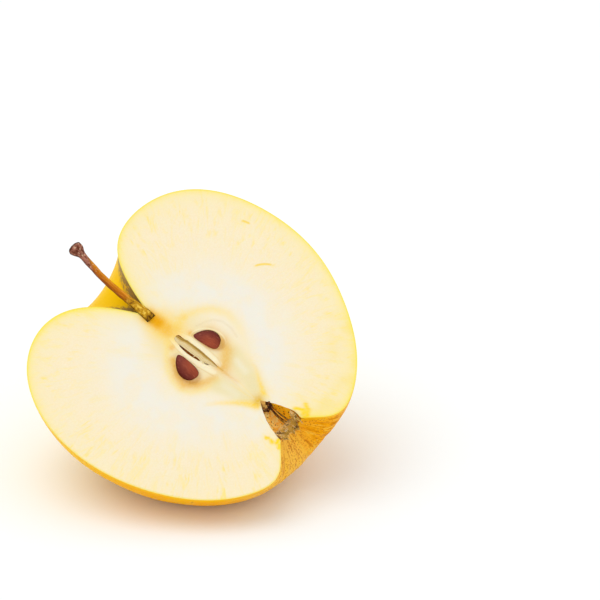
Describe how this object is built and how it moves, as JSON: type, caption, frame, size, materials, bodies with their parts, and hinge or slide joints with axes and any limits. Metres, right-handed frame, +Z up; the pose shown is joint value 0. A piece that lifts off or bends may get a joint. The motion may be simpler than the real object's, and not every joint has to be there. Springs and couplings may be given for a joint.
{
  "type": "apple half",
  "caption": "Half of a yellow apple cut from stem to calyx, resting on its rounded back with the cut face, core, seeds and stem showing.",
  "frame": {"origin": "middle of the bounding box's underside, on the plane the half rests on", "axes": "+Z up from the resting plane, +Y away from the side the cut face leans towards, +X from the stem side to the calyx side, along the longest extent"},
  "size_m": [0.0824, 0.071, 0.0658],
  "materials": {
    "flesh": "moist pale flesh under a thin yellow skin",
    "stem": "dry brown bark",
    "seed": "glossy seed coat",
    "carpel": "smooth parchment",
    "stamens": "dry and withered",
    "sepal": "dry and felted"
  },
  "bodies": {
    "root": {"apple_half": "flesh", "stem": "stem", "seed_upper": "seed", "seed_lower": "seed", "carpel_wall": "carpel", "stamens": "stamens", "sepal_upper": "sepal", "sepal_middle": "sepal", "sepal_lower": "sepal"}
  },
  "joints": []
}
